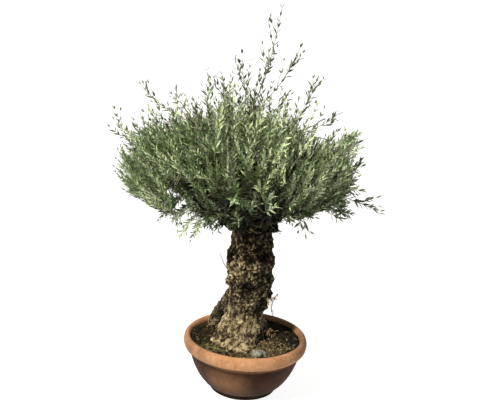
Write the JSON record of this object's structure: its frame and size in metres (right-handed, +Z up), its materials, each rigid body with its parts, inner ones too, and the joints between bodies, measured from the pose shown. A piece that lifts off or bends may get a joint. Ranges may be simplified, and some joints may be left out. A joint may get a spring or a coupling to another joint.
{
  "type": "potted olive bonsai",
  "caption": "Old olive grown as a bonsai: thick gnarled trunk with flaring roots in a round terracotta-coloured bowl, under a dense crown of grey-green leafy shoots.",
  "frame": {"origin": "middle of the bowl's flat underside", "axes": "+Z up the trunk, front towards -Y as in the picture, +X to its right"},
  "size_m": [1.5093, 1.4088, 2.1274],
  "materials": {
    "bowl": "satin",
    "soil": "matte",
    "bark": "matte",
    "branch": "matte",
    "foliage": "matte"
  },
  "bodies": {
    "root": {"bough_lower_back": "branch", "bough_lower_back_left": "branch", "bough_lower_back_right": "branch", "bough_lower_front": "branch", "bough_lower_front_left": "branch", "bough_lower_front_right": "branch", "bough_lower_left": "branch", "bough_lower_right": "branch", "bough_top_middle": "branch", "bough_upper_back_left": "branch", "bough_upper_back_right": "branch", "bough_upper_front": "branch", "bough_upper_left": "branch", "bough_upper_right": "branch", "bowl": "bowl", "foliage_lower_back": "foliage", "foliage_lower_back_left": "foliage", "foliage_lower_back_right": "foliage", "foliage_lower_front": "foliage", "foliage_lower_front_left": "foliage", "foliage_lower_front_right": "foliage", "foliage_lower_left": "foliage", "foliage_lower_right": "foliage", "foliage_top_middle": "foliage", "foliage_upper_back_left": "foliage", "foliage_upper_back_right": "foliage", "foliage_upper_front": "foliage", "foliage_upper_left": "foliage", "foliage_upper_right": "foliage", "soil": "soil", "trunk": "bark"}
  },
  "joints": []
}
